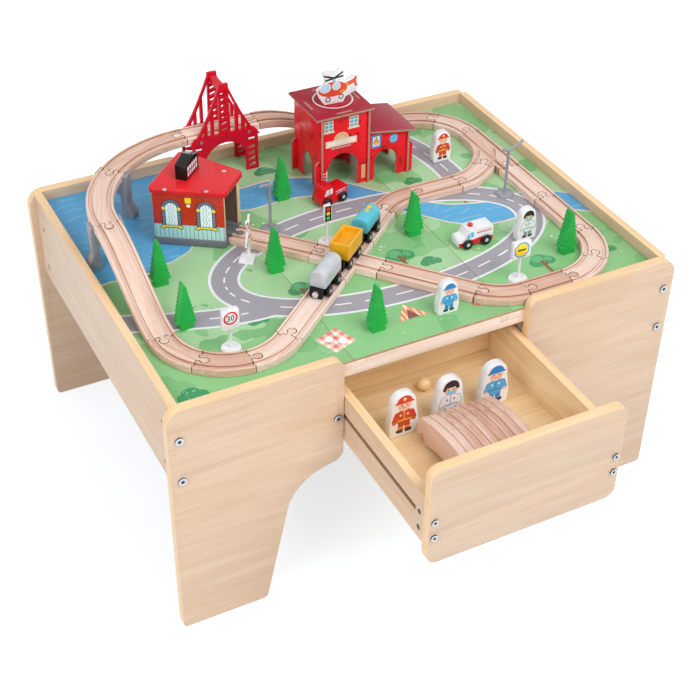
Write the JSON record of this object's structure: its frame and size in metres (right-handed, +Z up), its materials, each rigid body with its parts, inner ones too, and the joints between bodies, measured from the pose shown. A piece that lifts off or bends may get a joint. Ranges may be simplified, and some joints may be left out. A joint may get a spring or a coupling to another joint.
{
  "type": "train table",
  "caption": "Wooden play table with a raised railway loop, bridge, shed, station, rolling train, road toys and a storage drawer on runners.",
  "frame": {"origin": "middle of the floor area that the table covers with its drawer open, on the floor", "axes": "+X along the table's width, -Y the way the drawer opens, +Z up"},
  "size_m": [0.8, 0.8366, 0.5721],
  "materials": {
    "maple_panel": "clear matt lacquer on pale veneered board",
    "track_beech": "bare sanded beech",
    "pine": "bare planed softwood",
    "printed_board": "printed fibreboard, satin",
    "bolt_steel": "zinc plated",
    "white_printed_wood": "white paint with printed fronts",
    "red_printed_wood": "printed plywood, satin",
    "brick_printed_wood": "printed plywood, satin",
    "roof_red_wood": "satin red paint",
    "dark_red_wood": "printed plywood, satin",
    "crimson_plastic": "glossy",
    "grey_plastic": "satin",
    "dark_grey_plastic": "satin",
    "black_plastic": "glossy",
    "black_wood": "satin black paint",
    "silver_paint": "satin silver-grey paint",
    "yellow_paint": "satin yellow paint",
    "turquoise_paint": "satin turquoise paint",
    "magnet_nickel": "nickel plated",
    "red_paint": "gloss red paint",
    "green_paint": "satin green paint",
    "white_plastic": "glossy"
  },
  "bodies": {
    "table": {"leg_front_left": "maple_panel", "leg_front_right": "maple_panel", "leg_rear_left": "maple_panel", "leg_rear_right": "maple_panel", "rear_apron": "maple_panel", "side_panel_left": "maple_panel", "side_panel_right": "maple_panel", "board_rails": "pine", "seam_battens": "pine", "play_boards": "printed_board", "runner_panels": "maple_panel", "drawer_runners": "pine", "frame_bolts": "bolt_steel", "straight_tracks": "track_beech", "small_curves": "track_beech", "raised_curves": "track_beech", "ramps": "track_beech", "crossing": "track_beech", "switch": "track_beech", "bridge_deck": "track_beech", "bridge_trusses": "crimson_plastic", "bridge_piers": "grey_plastic", "shed_base": "dark_grey_plastic", "shed_walls": "brick_printed_wood", "shed_roof": "roof_red_wood", "shed_vent": "black_wood", "station_front": "red_printed_wood", "station_back": "red_printed_wood", "station_cross_walls": "red_printed_wood", "station_roofs": "dark_red_wood", "helicopter": "white_printed_wood", "fire_truck": "red_paint", "ambulance": "white_printed_wood", "tree_set": "green_paint", "figure_set": "white_printed_wood", "road_signs": "white_plastic", "street_lamps": "grey_plastic"},
    "drawer": {"drawer_front": "maple_panel", "drawer_sides": "maple_panel", "drawer_back": "maple_panel", "drawer_floor": "pine", "drawer_bolts": "bolt_steel", "spare_curves": "track_beech", "stored_figures": "white_printed_wood", "wooden_ball": "pine"},
    "train": {"wagon_chassis": "black_plastic", "grey_tank": "silver_paint", "yellow_hopper": "yellow_paint", "blue_tank": "turquoise_paint", "coupling_magnets": "magnet_nickel"},
    "grey_front_wheelset": {"grey_front_wheels": "black_plastic"},
    "grey_rear_wheelset": {"grey_rear_wheels": "black_plastic"},
    "yellow_front_wheelset": {"yellow_front_wheels": "black_plastic"},
    "yellow_rear_wheelset": {"yellow_rear_wheels": "black_plastic"},
    "blue_front_wheelset": {"blue_front_wheels": "black_plastic"},
    "blue_rear_wheelset": {"blue_rear_wheels": "black_plastic"},
    "truck_front_wheelset": {"truck_front_wheels": "black_plastic"},
    "truck_rear_wheelset": {"truck_rear_wheels": "black_plastic"},
    "ambulance_front_wheelset": {"ambulance_front_wheels": "black_plastic"},
    "ambulance_rear_wheelset": {"ambulance_rear_wheels": "black_plastic"}
  },
  "joints": [
    {"name": "drawer_slide", "type": "slide", "parent": "table", "child": "drawer", "axis": [0, -1, 0], "range_m": [-0.232, 0.02]},
    {"name": "train_roll", "type": "slide", "parent": "table", "child": "train", "axis": [0.7638, 0.6455, 0], "range_m": [-0.085, 0.025]},
    {"name": "grey_front_roll", "type": "hinge", "parent": "train", "child": "grey_front_wheelset", "pos_m": [-0.10363, -0.02492, 0.4008], "axis": [-0.6455, 0.7638, 0], "continuous": true},
    {"name": "grey_rear_roll", "type": "hinge", "parent": "train", "child": "grey_rear_wheelset", "pos_m": [-0.07919, -0.00427, 0.4008], "axis": [-0.6455, 0.7638, 0], "continuous": true},
    {"name": "yellow_front_roll", "type": "hinge", "parent": "train", "child": "yellow_front_wheelset", "pos_m": [-0.04604, 0.02374, 0.4008], "axis": [-0.6455, 0.7638, 0], "continuous": true},
    {"name": "yellow_rear_roll", "type": "hinge", "parent": "train", "child": "yellow_rear_wheelset", "pos_m": [-0.0216, 0.0444, 0.4008], "axis": [-0.6455, 0.7638, 0], "continuous": true},
    {"name": "blue_front_roll", "type": "hinge", "parent": "train", "child": "blue_front_wheelset", "pos_m": [0.01155, 0.07241, 0.4008], "axis": [-0.6455, 0.7638, 0], "continuous": true},
    {"name": "blue_rear_roll", "type": "hinge", "parent": "train", "child": "blue_rear_wheelset", "pos_m": [0.03599, 0.09307, 0.4008], "axis": [-0.6455, 0.7638, 0], "continuous": true},
    {"name": "truck_front_roll", "type": "hinge", "parent": "table", "child": "truck_front_wheelset", "pos_m": [0.00912, 0.19989, 0.3918], "axis": [-0.2756, 0.9613, 0], "continuous": true},
    {"name": "truck_rear_roll", "type": "hinge", "parent": "table", "child": "truck_rear_wheelset", "pos_m": [0.03988, 0.20871, 0.3918], "axis": [-0.2756, 0.9613, 0], "continuous": true},
    {"name": "ambulance_front_roll", "type": "hinge", "parent": "table", "child": "ambulance_front_wheelset", "pos_m": [0.149, 0.0053, 0.3918], "axis": [0, 1, 0], "continuous": true},
    {"name": "ambulance_rear_roll", "type": "hinge", "parent": "table", "child": "ambulance_rear_wheelset", "pos_m": [0.181, 0.0053, 0.3918], "axis": [0, 1, 0], "continuous": true}
  ],
  "couplings": [
    {"joint": "grey_front_roll", "follows": "train_roll", "rad_per_m": 117.65},
    {"joint": "grey_rear_roll", "follows": "train_roll", "rad_per_m": 117.65},
    {"joint": "yellow_front_roll", "follows": "train_roll", "rad_per_m": 117.65},
    {"joint": "yellow_rear_roll", "follows": "train_roll", "rad_per_m": 117.65},
    {"joint": "blue_front_roll", "follows": "train_roll", "rad_per_m": 117.65},
    {"joint": "blue_rear_roll", "follows": "train_roll", "rad_per_m": 117.65}
  ]
}
